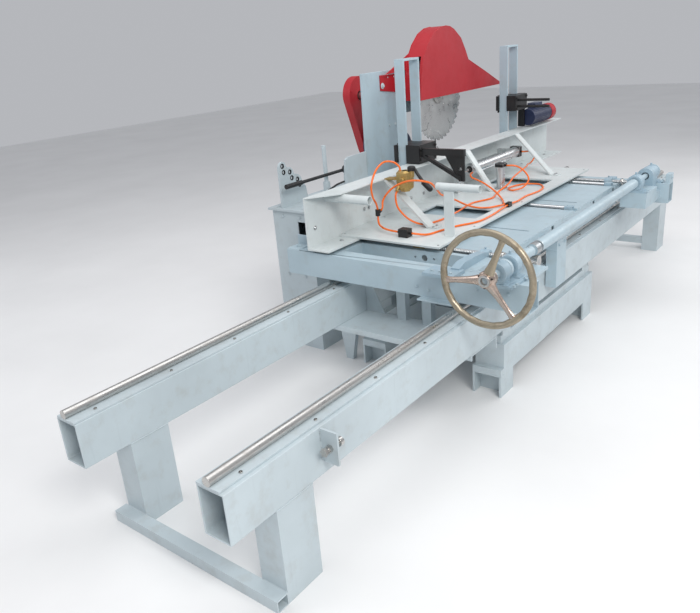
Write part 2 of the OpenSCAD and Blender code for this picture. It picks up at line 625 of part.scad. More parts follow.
// Hoses are 10 mm outside. Points are chosen along the visible loops.
valve_route = [[-268, 1764, 1000], [-268, 1764, 1008], [-286, 1752, 1036], [-320, 1718, 1048], [-330, 1668, 1032], [-330, 1620, 992], [-330, 1596, 942], [-330, 1606, 888],
  [-330, 1630, 852], [-330, 1638, 828], [-330, 1638, 784], [-316, 1622, 758], [-276, 1594, 747], [-215, 1572, 743], [-172, 1568, 742], [-164, 1568, 742]];
branch_route = [[-308.8, 1638, 821.2], [-301.7, 1638, 828.3], [-303, 1648, 862], [-265, 1664, 919], [-201, 1666, 956], [-152, 1665, 971], [-98, 1668, 975], [-62, 1700, 962],
  [-66, 1766, 922], [-84, 1840, 875], [-102, 1950, 834], [-104, 2040, 795], [-78, 2120, 752], [-52, 2170, 732], [0, 2208, 728], [36, 2250, 731], [58, 2273, 733], [66, 2273, 733]];
supply_route = [[-256, 1708.1, 903.1], [-256, 1701, 896], [-253, 1692, 866], [-244, 1690, 832], [-222, 1700, 796], [-190, 1714, 764], [-160, 1732, 745], [-144, 1764, 733],
  [-128, 1810, 728], [-116, 1870, 727.4], [-117, 2064, 727.4], [-136, 2275, 727.4], [-90, 2424, 727.4], [-118, 2540, 729], [-104, 2666, 760],
  [-118, 2760, 778], [-120, 2871, 796], [-165, 3060, 790], [-238, 3240, 766], [-248, 3300, 762], [-238, 3342, 792], [-230, 3318, 836], [-248, 3266, 846], [-278, 3252, 845], [-286, 3252, 845]];
cylinder_route = [[-84, 1568, 742], [-76, 1568, 742], [-40, 1610, 730], [-8, 1713, 727.4], [18, 1801, 727.4], [77, 1916, 727.4], [85, 2073, 727.4], [77, 2215, 731], [77, 2256, 733], [77, 2308, 733],
  [78, 2400, 728], [69, 2510, 727.4], [84, 2692, 727.4], [66, 2772, 727.4], [4, 2838, 727.4], [-72, 2816, 727.4], [-111, 2740, 727.4], [-110, 2672, 727.4], [-60, 2632, 729], [-12, 2664, 744],
  [2, 2708, 784], [-34, 2718, 830], [-80, 2690, 862], [-114, 2675, 864], [-122, 2675, 864]];
port_route = [[-310, 2600, 826], [-310, 2592, 826], [-304, 2566, 820], [-284, 2540, 812], [-245, 2518, 806], [-196, 2500, 796], [-98, 2462, 760],
  [-40, 2420, 738], [0, 2372, 729], [28, 2322, 729], [44, 2300, 731], [58, 2291, 733], [66, 2291, 733]];
module valve_hose() color(orange) hose(valve_route, 5, 1);
module branch_hose() color(orange) hose(branch_route, 5, 1);
module supply_hose() color(orange) hose(supply_route, 5, 1);
module cylinder_hose() color(orange) hose(cylinder_route, 5, 1);
module port_hose() color(orange) hose(port_route, 5, 1);

// ---- clamps --------------------------------------------------------------------
module near_clamp_block() color(black) translate([0, 32, 0]) {
  bx([-527, 2116.4, 962], [-463, 2250.6, 1058]);
  bx([-545, 2092, 962], [-525.4, 2275, 1058]);
  bx([-465.6, 2092, 960], [-380, 2275, 1060]);
  bx([-380, 2112, 1006], [-116, 2136, 1042]);
  difference() {
    xz(2118, 2130) polygon([[-232, 1006], [-118, 1006], [-118, 872], [-150, 872]]);
    cy(2110, 2140, -140, 939, 9, 32);
  }
  hull() { bx([-384, 2112, 1000], [-372, 2136, 1012]); bx([-150, 2112, 880], [-134, 2136, 896]); }
  hull() { bx([-566, 2160, 962], [-545, 2206, 1058]); bx([-572, 2170, 940], [-562, 2196, 950]); }
}
module far_clamp_block() color(black) translate([0, 32, 0]) {
  bx([-527, 3382.4, 1092], [-463, 3517.6, 1188]);
  bx([-545, 3358, 1092], [-525.4, 3541, 1188]);
  bx([-465.6, 3358, 1090], [-400, 3541, 1190]);
  for (z = [1118, 1160]) cx(-400, -180, 3400, z, 9, 32);
  bx([-465.6, 3541, 964], [-420, 3556, 1190]);
  hull() { bx([-566, 3426, 1092], [-545, 3472, 1188]); bx([-572, 3436, 1070], [-562, 3462, 1080]); }
}
module far_clamp_motor() translate([0, 32, 0]) {
  color("#1f3560") union() {
    cy(3556, 3860, -400, 1024, 55);
    bx([-440, 3640, 1070], [-380, 3760, 1110]);
  }
  color("#8d1b22") cy(3860, 3930, -400, 1024, 58);
}

rail_beams();
rail_strips();
guide_bars();
rail_screws();
rail_legs();
stop_bracket();
mid_cross_channel();
base_frame();
saw_cabinet();
cabinet_top();
quadrant_plate();
blade_column();
spindle_housings();
blade_hood();
belt_guards();
blade_motors();
drive_belts();
near_crossbeam();
far_crossbeam();
side_beams();
deck_plates();
guide_rods();
bearing_castings();
retainer_post();
roller_axles();
front_left_roller();
front_right_roller();
rear_left_roller();
rear_right_roller();
handwheel();
link_shaft();
near_lead_screw();
far_lead_screw();
table_frame();
fence();
fence_braces();
push_tubes();
clamp_posts();
lead_nuts();
clamp_cylinder();
lock_cylinder();
control_valve();
hose_fittings();
valve_hose();
branch_hose();
supply_hose();
cylinder_hose();
port_hose();
near_clamp_block();
far_clamp_block();
far_clamp_motor();
push_rod();
valve_lever();
upper_blade();
upper_spindle();
lower_blade();
lower_spindle();
upper_motor_pulley();
lower_motor_pulley();
brake_lever();
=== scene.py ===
import json
import math
import random

import bpy
from mathutils import Matrix, Vector
from mathutils.geometry import tessellate_polygon


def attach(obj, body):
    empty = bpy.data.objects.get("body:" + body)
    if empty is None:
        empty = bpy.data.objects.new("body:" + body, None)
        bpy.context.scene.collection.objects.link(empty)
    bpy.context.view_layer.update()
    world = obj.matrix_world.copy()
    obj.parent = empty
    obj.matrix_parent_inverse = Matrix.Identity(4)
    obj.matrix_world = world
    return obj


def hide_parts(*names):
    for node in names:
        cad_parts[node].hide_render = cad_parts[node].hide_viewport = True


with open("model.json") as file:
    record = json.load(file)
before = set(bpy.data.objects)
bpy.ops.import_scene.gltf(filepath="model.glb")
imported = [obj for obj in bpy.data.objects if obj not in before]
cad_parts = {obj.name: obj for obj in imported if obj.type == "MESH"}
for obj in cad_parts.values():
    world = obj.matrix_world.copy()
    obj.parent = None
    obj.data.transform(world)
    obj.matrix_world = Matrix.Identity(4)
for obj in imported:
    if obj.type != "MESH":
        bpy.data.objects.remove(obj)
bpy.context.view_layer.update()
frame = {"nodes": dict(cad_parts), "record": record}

NODES = frame["nodes"]
BODY = {n: b for b, ns in frame["record"]["behaviour"]["bodies"].items() for n in ns}
SLOT = {s["node"]: s["material_slot"] for s in frame["record"]["subparts"] if "node" in s}
rnd = random.Random(7)

# ---------------------------------------------------------------- camera
A, E, ROLL = math.radians(39.10), math.radians(21.15), math.radians(-4.67)
fwd = Vector((-math.sin(A) * math.cos(E), math.cos(A) * math.cos(E), -math.sin(E)))
right = Vector((math.cos(A), math.sin(A), 0))
down = fwd.cross(right)
c_, s_ = math.cos(ROLL), math.sin(ROLL)
r0 = c_ * right - s_ * down
r1 = s_ * right + c_ * down
cam_data = bpy.data.cameras.new("camera")
cam = bpy.data.objects.new("camera", cam_data)
bpy.context.scene.collection.objects.link(cam)
cam.matrix_world = Matrix(((r0.x, -r1.x, -fwd.x, 1.674), (r0.y, -r1.y, -fwd.y, -1.110), (r0.z, -r1.z, -fwd.z, 1.627), (0, 0, 0, 1)))
cam_data.lens = 35.36
cam_data.sensor_width = 36
cam_data.clip_start, cam_data.clip_end = 0.05, 60
bpy.context.scene.camera = cam
bpy.context.scene.view_settings.view_transform = "Standard"


# ---------------------------------------------------------------- materials
def lin(c, k=1.0):
    return (min(1, c[0] * k), min(1, c[1] * k), min(1, c[2] * k), 1)


def base_tree(name):
    m = bpy.data.materials.new(name)
    m.use_nodes = True
    nt = m.node_tree
    nt.nodes.clear()
    out = nt.nodes.new("ShaderNodeOutputMaterial")
    bs = nt.nodes.new("ShaderNodeBsdfPrincipled")
    nt.links.new(bs.outputs[0], out.inputs[0])
    tc = nt.nodes.new("ShaderNodeTexCoord")
    return m, nt, bs, tc


def noise(nt, src, scale, detail=4, rough=0.55, stretch=None):
    vec = src
    if stretch:
        mp = nt.nodes.new("ShaderNodeMapping")
        mp.inputs["Scale"].default_value = stretch
        nt.links.new(src, mp.inputs["Vector"])
        vec = mp.outputs[0]
    n = nt.nodes.new("ShaderNodeTexNoise")
    n.inputs["Scale"].default_value = scale
    n.inputs["Detail"].default_value = detail
    n.inputs["Roughness"].default_value = rough
    nt.links.new(vec, n.inputs["Vector"])
    return n.outputs["Fac"]


def ramp(nt, fac, a, b, lo=0.0, hi=1.0):
    r = nt.nodes.new("ShaderNodeMapRange")
    r.inputs["From Min"].default_value = a
    r.inputs["From Max"].default_value = b
    r.inputs["To Min"].default_value = lo
    r.inputs["To Max"].default_value = hi
    nt.links.new(fac, r.inputs["Value"])
    return r.outputs[0]


def mix(nt, fac, a, b, mode="MIX"):
    n = nt.nodes.new("ShaderNodeMix")
    n.data_type = "RGBA"
    n.blend_type = mode
    for sock, v in ((n.inputs[0], fac), (n.inputs[6], a), (n.inputs[7], b)):
        if hasattr(v, "is_linked"):
            nt.links.new(v, sock)
        else:
            sock.default_value = v
    return n.outputs[2]


def mul(nt, a, b):
    n = nt.nodes.new("ShaderNodeMath")
    n.operation = "MULTIPLY"
    for i, v in enumerate((a, b)):
        if hasattr(v, "is_linked"):
            nt.links.new(v, n.inputs[i])
        else:
            n.inputs[i].default_value = v
    return n.outputs[0]


def bump(nt, bs, fields):
    prev = None
    for h, strength, dist in fields:
        b = nt.nodes.new("ShaderNodeBump")
        b.inputs["Strength"].default_value = strength
        b.inputs["Distance"].default_value = dist
        nt.links.new(h, b.inputs["Height"])
        if prev is not None:
            nt.links.new(prev, b.inputs["Normal"])
        prev = b.outputs[0]
    nt.links.new(prev, bs.inputs["Normal"])


def paint(name, col, rough=0.36, stain=0.22, chips=0.5, peel=0.06, coat=0.15, stain_col=(0.30, 0.27, 0.22)):
    m, nt, bs, tc = base_tree(name)
    o = tc.outputs["Object"]
    big = noise(nt, o, 2.1, 5)
    mid = noise(nt, o, 13, 7, 0.66)
    fine = noise(nt, o, 95, 5, 0.6)
    peeln = noise(nt, o, 420, 2)
    c = mix(nt, ramp(nt, big, 0.32, 0.68), lin(col, 0.90), lin(col, 1.07))
    c = mix(nt, mul(nt, ramp(nt, mid, 0.52, 0.80), stain), c, lin(stain_col))
    # streaks that run down upright faces
    st = noise(nt, o, 9, 4, 0.5, (6, 6, 0.5))
    c = mix(nt, mul(nt, ramp(nt, st, 0.60, 0.82), stain * 0.7), c, lin(col, 0.62))
    chip = mul(nt, ramp(nt, fine, 0.715, 0.735), mul(nt, ramp(nt, mid, 0.50, 0.60), chips))
    c = mix(nt, chip, c, (0.14, 0.13, 0.12, 1))
    nt.links.new(c, bs.inputs["Base Color"])
    nt.links.new(ramp(nt, mid, 0.3, 0.75, rough - 0.07, rough + 0.20), bs.inputs["Roughness"])
    bs.inputs["Coat Weight"].default_value = coat
    bs.inputs["Coat Roughness"].default_value = 0.18
    bump(nt, bs, [(peeln, peel, 0.0012), (mid, 0.05, 0.002), (fine, 0.03, 0.0008)])
    return m


def metal(name, col, rough=0.28, stretch=(1, 40, 40), rust=0.15, metallic=1.0, rust_col=(0.20, 0.13, 0.08), marks=0.12):
    m, nt, bs, tc = base_tree(name)
    o = tc.outputs["Object"]
    mid = noise(nt, o, 16, 6, 0.62)
    fine = noise(nt, o, 140, 4)
    line = noise(nt, o, 60, 3, 0.6, stretch)
    c = mix(nt, ramp(nt, line, 0.3, 0.7), lin(col, 0.80), lin(col, 1.12))
    c = mix(nt, mul(nt, ramp(nt, mid, 0.52, 0.74), rust), c, lin(rust_col))
    nt.links.new(c, bs.inputs["Base Color"])
    bs.inputs["Metallic"].default_value = metallic
    nt.links.new(ramp(nt, mid, 0.3, 0.8, rough - 0.06, rough + 0.25), bs.inputs["Roughness"])
    bump(nt, bs, [(line, marks, 0.0006), (fine, 0.06, 0.0006)])
    return m


def plastic(name, col, rough=0.3, coat=0.0, var=0.10, ripple=0.03):
    m, nt, bs, tc = base_tree(name)
    o = tc.outputs["Object"]
    mid = noise(nt, o, 24, 5)
    fine = noise(nt, o, 260, 3)
    c = mix(nt, ramp(nt, mid, 0.3, 0.7), lin(col, 1 - var), lin(col, 1 + var))
    nt.links.new(c, bs.inputs["Base Color"])
    nt.links.new(ramp(nt, mid, 0.3, 0.7, rough - 0.05, rough + 0.14), bs.inputs["Roughness"])
    bs.inputs["Coat Weight"].default_value = coat
    bump(nt, bs, [(fine, ripple, 0.0008), (mid, 0.04, 0.001)])
    return m


MAT = {
    "paint_grey": paint("mat_grey", (0.50, 0.575, 0.61), 0.40, 0.30, 0.6, 0.06, 0.08),
    "paint_blue": paint("mat_blue", (0.41, 0.52, 0.58), 0.38, 0.30, 0.7, 0.06, 0.08),
    "paint_cream": paint("mat_cream", (0.62, 0.67, 0.675), 0.40, 0.28, 0.6, 0.06, 0.08),
    "paint_red": paint("mat_red", (0.43, 0.010, 0.020), 0.46, 0.14, 0.25, 0.03, 0.0, (0.20, 0.02, 0.02)),
    "paint_black": paint("mat_black", (0.010, 0.010, 0.011), 0.42, 0.20, 0.4, 0.05, 0.05, (0.05, 0.045, 0.04)),
    "cast_paint": paint("mat_cast", (0.33, 0.45, 0.53), 0.42, 0.28, 0.7, 0.30, 0.08),
    "steel_bright": metal("mat_steel", (0.58, 0.57, 0.55), 0.24, (40, 1, 40), 0.22),
    "chrome_rod": metal("mat_chrome", (0.76, 0.77, 0.78), 0.10, (1, 40, 40), 0.05, 1.0, (0.3, 0.28, 0.25), 0.03),
    "blade_steel": metal("mat_blade", (0.66, 0.66, 0.65), 0.26, (1, 30, 30), 0.06, 1.0, (0.30, 0.26, 0.22), 0.03),
    "wheel_bronze": metal("mat_wheel", (0.40, 0.345, 0.26), 0.38, (6, 6, 6), 0.85, 0.80, (0.13, 0.10, 0.065), 0.18),
    "wheel_polished": metal("mat_wheel_polished", (0.62, 0.50, 0.43), 0.22, (4, 30, 4), 0.22, 1.0, (0.30, 0.21, 0.14), 0.10),
    "brass": metal("mat_brass", (0.55, 0.39, 0.15), 0.36, (3, 3, 3), 0.35, 0.9, (0.30, 0.21, 0.09), 0.22),
    "motor_blue": paint("mat_motor", (0.012, 0.022, 0.075), 0.36, 0.18, 0.5, 0.12, 0.12, (0.06, 0.055, 0.05)),
    "rubber": plastic("mat_rubber", (0.018, 0.018, 0.018), 0.62),
    "hose_orange": plastic("mat_hose", (0.88, 0.16, 0.012), 0.26, 0.12, 0.07, 0.02),
    "fitting_black": plastic("mat_fitting", (0.012, 0.011, 0.011), 0.38, 0.05),
    "cylinder_alu": metal("mat_alu", (0.70, 0.71, 0.72), 0.24, (40, 1, 40), 0.10, 1.0, (0.30, 0.30, 0.28), 0.08),
    "dark": plastic("mat_dark", (0.012, 0.011, 0.010), 0.8),
    "zinc": metal("mat_zinc", (0.50, 0.52, 0.53), 0.34, (8, 8, 8), 0.10),
    "carbide": metal("mat_carbide", (0.28, 0.28, 0.29), 0.30, (8, 8, 8), 0.05),
}

BEVEL = {"rail_beams": 3.0, "base_frame": 2.4, "saw_cabinet": 2.5, "fence": 1.2, "near_crossbeam": 2.2, "far_crossbeam": 2.2, "side_beams": 1.6,
         "deck_plates": 1.2, "blade_column": 2.5, "rail_legs": 1.8, "bearing_castings": 2.2, "near_clamp_block": 2.6, "far_clamp_block": 2.6,
         "clamp_posts": 1.6, "mid_cross_channel": 1.6, "cabinet_top": 1.8, "table_frame": 1.2, "control_valve": 2.0, "hose_fittings": 1.2,
         "lock_cylinder": 2.0, "clamp_cylinder": 2.0, "blade_motors": 2.0, "far_clamp_motor": 3.0}
for n, o in NODES.items():
    mat = MAT[SLOT.get(n, "paint_grey")]
    o.data.materials.clear()
    o.data.materials.append(mat)
    for p in o.data.polygons:
        p.use_smooth = True
        p.material_index = 0
    w = o.modifiers.new("weld", "WELD")
    w.merge_threshold = 2e-5
    d = o.modifiers.new("flat", "DECIMATE")
    d.decimate_type = "DISSOLVE"
    d.angle_limit = math.radians(0.6)
    b = o.modifiers.new("edge", "BEVEL")
    b.width = BEVEL.get(n, 0.8) / 1000
    b.segments = 2
    b.limit_method = "ANGLE"
    b.angle_limit = math.radians(35)
    b.use_clamp_overlap = True
    b.harden_normals = True
    wn = o.modifiers.new("normals", "WEIGHTED_NORMAL")
    wn.keep_sharp = False


# ---------------------------------------------------------------- mesh builder
class MB:
    def __init__(self):
        self.v, self.f, self.m = [], [], []

    def add(self, verts, faces, mi=0):
        k = len(self.v)
        self.v += [tuple(v) for v in verts]
        self.f += [tuple(i + k for i in f) for f in faces]
        self.m += [mi] * len(faces)

    def lathe(self, c, axis, prof, n=32, mi=0, cap=True, phase=0.0):
        """prof is [(along, radius)], c a point in mm, axis a vector."""
        a = Vector(axis).normalized()
        u = a.orthogonal().normalized()
        if abs(a.x) > 0.9:
            u = Vector((0, 1, 0))
        elif abs(a.y) > 0.9:
            u = Vector((1, 0, 0))
        elif abs(a.z) > 0.9:
            u = Vector((1, 0, 0))
        w = a.cross(u).normalized()
        u = w.cross(a).normalized()
        c = Vector(c)
        vs = []
        for t, r in prof:
            for j in range(n):
                th = 2 * math.pi * j / n + phase
                vs.append((c + a * t + (u * math.cos(th) + w * math.sin(th)) * r) / 1000)
        fs = []
        for i in range(len(prof) - 1):
            for j in range(n):
                fs.append((i * n + j, i * n + (j + 1) % n, (i + 1) * n + (j + 1) % n, (i + 1) * n + j))
        if cap:
            fs.append(tuple(range(n - 1, -1, -1)))
            fs.append(tuple((len(prof) - 1) * n + j for j in range(n)))
        self.add(vs, fs, mi)

    def tube(self, pts, radii, n=12, mi=0, sx=1.0, sy=1.0, up=(0, 0, 1), cap=True):
        """Loft through points in mm, elliptic section radii[i] * (sx, sy)."""
        pts = [Vector(p) for p in pts]
        vs, fs = [], []
        for i, p in enumerate(pts):
            t = (pts[min(i + 1, len(pts) - 1)] - pts[max(i - 1, 0)]).normalized()
            u = Vector(up) - t * t.dot(Vector(up))
            u = u.normalized() if u.length > 1e-4 else t.orthogonal().normalized()
            w = t.cross(u)
            r = radii[i]
            rx, ry = r if isinstance(r, tuple) else (r * sx, r * sy)
            for j in range(n):
                th = 2 * math.pi * j / n
                vs.append((p + u * math.cos(th) * rx + w * math.sin(th) * ry) / 1000)
        for i in range(len(pts) - 1):
            for j in range(n):
                fs.append((i * n + j, i * n + (j + 1) % n, (i + 1) * n + (j + 1) % n, (i + 1) * n + j))
        if cap:
            fs.append(tuple(range(n - 1, -1, -1)))
            fs.append(tuple((len(pts) - 1) * n + j for j in range(n)))
        self.add(vs, fs, mi)

    def bolt(self, c, axis, r=8, h=6, washer=True, mi=0, hexa=True):
        t0 = 0
        if washer:
            self.lathe(c, axis, [(0, r * 1.25), (0, r * 1.55), (1.2, r * 1.6), (1.8, r * 1.5), (1.8, r * 0.6)], 24, mi)
            t0 = 1.8
        ph = rnd.random()
        k = 6 if hexa else 20
        self.lathe(c, axis, [(t0, r * 0.9), (t0, r), (t0 + h * 0.8, r), (t0 + h, r * 0.82), (t0 + h, 0.3)], k, mi, True, ph)

    def weld_bead(self, a, b, r=3.2, mi=0):
        a, b = Vector(a), Vector(b)
        n = max(4, int((b - a).length / 3.2))
        off = Vector((1, 1, 1)).normalized()
        pts, rad = [], []
        for i in range(n + 1):
            t = i / n
            wob = Vector((rnd.uniform(-1, 1), rnd.uniform(-1, 1), rnd.uniform(-1, 1))) * 0.35
            pts.append(a.lerp(b, t) + wob)
            rad.append(r * (0.86 + 0.18 * (i % 2) + rnd.uniform(-0.06, 0.06)) * (0.5 if i in (0, n) else 1))
        self.tube(pts, rad, 8, mi)

    def slab(self, lo, hi, ch=1.5, mi=0):
        """Block with chamfered edges."""
        (x0, y0, z0), (x1, y1, z1) = lo, hi
        ch = min(ch, (x1 - x0) / 3, (y1 - y0) / 3, (z1 - z0) / 3)
        vs, fs = [], []
        rings = [(z0, ch), (z0 + ch, 0), (z1 - ch, 0), (z1, ch)]
        for z, k in rings:
            a0, a1, b0, b1 = x0 + k, x1 - k, y0 + k, y1 - k
            q = ch
            vs += [(a0 + q, b0, z), (a1 - q, b0, z), (a1, b0 + q, z), (a1, b1 - q, z), (a1 - q, b1, z), (a0 + q, b1, z), (a0, b1 - q, z), (a0, b0 + q, z)]
        for i in range(3):
            for j in range(8):
                fs.append((i * 8 + j, i * 8 + (j + 1) % 8, i * 8 + 8 + (j + 1) % 8, i * 8 + 8 + j))
        fs.append(tuple(range(7, -1, -1)))
        fs.append(tuple(24 + j for j in range(8)))
        self.add([Vector(v) / 1000 for v in vs], fs, mi)

    def obj(self, name, mats, body, smooth=True, angle=32):
        me = bpy.data.meshes.new(name)
        me.from_pydata(self.v, [], self.f)
        mats = mats if isinstance(mats, (list, tuple)) else [mats]
        for m in mats:
            me.materials.append(MAT[m] if isinstance(m, str) else m)
        for p, mi in zip(me.polygons, self.m):
            p.material_index = mi
            p.use_smooth = smooth
        me.validate()
        me.update()
        if smooth:
            me.set_sharp_from_angle(angle=math.radians(angle))
        o = bpy.data.objects.new(name, me)
        bpy.context.scene.collection.objects.link(o)
        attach(o, body)
        return o


# ---------------------------------------------------------------- hoses
ROUTES = {
    "valve_hose": [(-268, 1764, 1000), (-268, 1764, 1008), (-286, 1752, 1036), (-320, 1718, 1048), (-330, 1668, 1032), (-330, 1620, 992), (-330, 1596, 942), (-330, 1606, 888), (-330, 1630, 852), (-330, 1638, 828), (-330, 1638, 784), (-316, 1622, 758), (-276, 1594, 747), (-215, 1572, 743), (-172, 1568, 742), (-164, 1568, 742)],
    "branch_hose": [(-308.8, 1638, 821.2), (-301.7, 1638, 828.3), (-303, 1648, 862), (-265, 1664, 919), (-201, 1666, 956), (-152, 1665, 971), (-98, 1668, 975), (-62, 1700, 962), (-66, 1766, 922), (-84, 1840, 875), (-102, 1950, 834), (-104, 2040, 795), (-78, 2120, 752), (-52, 2170, 732), (0, 2208, 728), (36, 2250, 731), (58, 2273, 733), (66, 2273, 733)],
    "supply_hose": [(-256, 1708.1, 903.1), (-256, 1701, 896), (-253, 1692, 866), (-244, 1690, 832), (-222, 1700, 796), (-190, 1714, 764), (-160, 1732, 745), (-144, 1764, 733), (-128, 1810, 728), (-116, 1870, 727.4), (-117, 2064, 727.4), (-136, 2275, 727.4), (-90, 2424, 727.4), (-118, 2540, 729), (-104, 2666, 760), (-118, 2760, 778), (-120, 2871, 796), (-165, 3060, 790), (-238, 3240, 766), (-248, 3300, 762), (-238, 3342, 792), (-230, 3318, 836), (-248, 3266, 846), (-278, 3252, 845), (-286, 3252, 845)],
    "cylinder_hose": [(-84, 1568, 742), (-76, 1568, 742), (-40, 1610, 730), (-8, 1713, 727.4), (18, 1801, 727.4), (77, 1916, 727.4), (85, 2073, 727.4), (77, 2215, 731), (77, 2256, 733), (77, 2308, 733), (78, 2400, 728), (69, 2510, 727.4), (84, 2692, 727.4), (66, 2772, 727.4), (4, 2838, 727.4), (-72, 2816, 727.4), (-111, 2740, 727.4), (-110, 2672, 727.4), (-60, 2632, 729), (-12, 2664, 744), (2, 2708, 784), (-34, 2718, 830), (-80, 2690, 862), (-114, 2675, 864), (-122, 2675, 864)],
    "port_hose": [(-310, 2600, 826), (-310, 2592, 826), (-304, 2566, 820), (-284, 2540, 812), (-245, 2518, 806), (-196, 2500, 796), (-98, 2462, 760), (-40, 2420, 738), (0, 2372, 729), (28, 2322, 729), (44, 2300, 731), (58, 2291, 733), (66, 2291, 733)],
}


def smooth_route(pts, step=6.0):
    """Catmull-Rom through the points with even parameter by chord length."""
    P = [Vector(p) for p in pts]
    out = []
    for i in range(len(P) - 1):
        a, b, c, d = P[max(i - 1, 0)], P[i], P[i + 1], P[min(i + 2, len(P) - 1)]
        L = (c - b).length
        la = (b - a).length or L
        lc = (d - c).length or L
        m1 = (c - b) / L + (b - a) / la - (c - a) / (la + L) if a != b else (c - b) / L
        m2 = (c - b) / L + (d - c) / lc - (d - b) / (lc + L) if c != d else (c - b) / L
        n = max(1, int(L / step))
        for j in range(n):
            t = j / n
            h00, h10 = 2 * t ** 3 - 3 * t ** 2 + 1, t ** 3 - 2 * t ** 2 + t
            h01, h11 = -2 * t ** 3 + 3 * t ** 2, t ** 3 - t ** 2
            out.append(h00 * b + h10 * L * m1 + h01 * c + h11 * L * m2)
    out.append(P[-1])
    return out


for name, pts in ROUTES.items():
    if name not in NODES:
        continue
    q = smooth_route(pts)
    cu = bpy.data.curves.new(name + "_line", "CURVE")
    cu.dimensions = "3D"
    sp = cu.splines.new("POLY")
    sp.points.add(len(q) - 1)
    for i, p in enumerate(q):
        sp.points[i].co = (p.x / 1000, p.y / 1000, p.z / 1000, 1)
    sp.use_smooth = True
    cu.bevel_depth = 0.005
    cu.bevel_resolution = 4
    cu.use_fill_caps = True
    cu.materials.append(MAT["hose_orange"])
    o = bpy.data.objects.new(name + "_visual", cu)
    bpy.context.scene.collection.objects.link(o)
    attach(o, "table")
    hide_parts(name)

# ---------------------------------------------------------------- handwheel
SX, SZ, WY = 537, 743, 1119


def wheel_pt(a, r, y):
    a = math.radians(a)
    return (SX + r * math.cos(a), y, SZ + r * math.sin(a))


mb = MB()
NR, NT = 240, 20
vs, fs = [], []
for i in range(NR):
    a = 360 * i / NR
    near_spoke = min(abs((a - s + 180) % 360 - 180) for s in (68, 188, 308))
    swell = 1.6 * math.exp(-(near_spoke / 9) ** 2)
    for j in range(NT):
        th = 2 * math.pi * j / NT
        grip = 0.9 + 0.9 * math.cos(math.radians(24 * a))
        rr = 186 - swell * 0.4 + 13.2 * math.cos(th) - ((swell + grip) * abs(math.cos(th)) if math.cos(th) < 0 else 0)
        yy = WY + 13.6 * math.sin(th)
        vs.append(Vector(wheel_pt(a, rr, yy)) / 1000)
for i in range(NR):
    for j in range(NT):
        fs.append((i * NT + j, ((i + 1) % NR) * NT + j, ((i + 1) % NR) * NT + (j + 1) % NT, i * NT + (j + 1) % NT))
mb.add(vs, fs, 0)
for k, s in enumerate((68, 188, 308)):
    prof = [(24, 23, 14), (38, 21, 12.5), (55, 17.5, 10), (80, 14.5, 8.6), (110, 12.6, 8.0), (140, 11.6, 7.8), (160, 12.4, 8.4), (172, 15.5, 9.8), (180, 19, 11)]
    pts = [wheel_pt(s, r, WY - 2 + 4 * (r / 180) ** 2) for r, _, _ in prof]
    rad = [(b, a) for _, a, b in prof]
    mb.tube(pts, rad, 24, 0 if k == 0 else 1, up=(0, 1, 0))
mb.lathe((SX, 1152, SZ), (0, -1, 0), [(0, 15.4), (0, 30), (2, 32), (14, 33), (18, 36), (40, 36), (44, 34), (46, 29), (54, 27), (54, 15.4), (50, 15.2), (4, 15.2)], 64, 1, cap=False)
mb.lathe((SX, 1098, SZ), (0, -1, 0), [(0, 15.2), (0, 23.5), (2.2, 23), (2.6, 20), (2.6, 15.3), (0, 15.2)], 48, 2, cap=False)
for a, m_ in ((150, 3), (20, 3), (265, 3)):
    mb.bolt(wheel_pt(a, 30, 1107), (0, -1, 0), 4.2, 3.5, False, m_)
o = mb.obj("handwheel_visual", ["wheel_bronze", "wheel_polished", "steel_bright", "dark"], "link_shaft", angle=40)
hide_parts("handwheel")

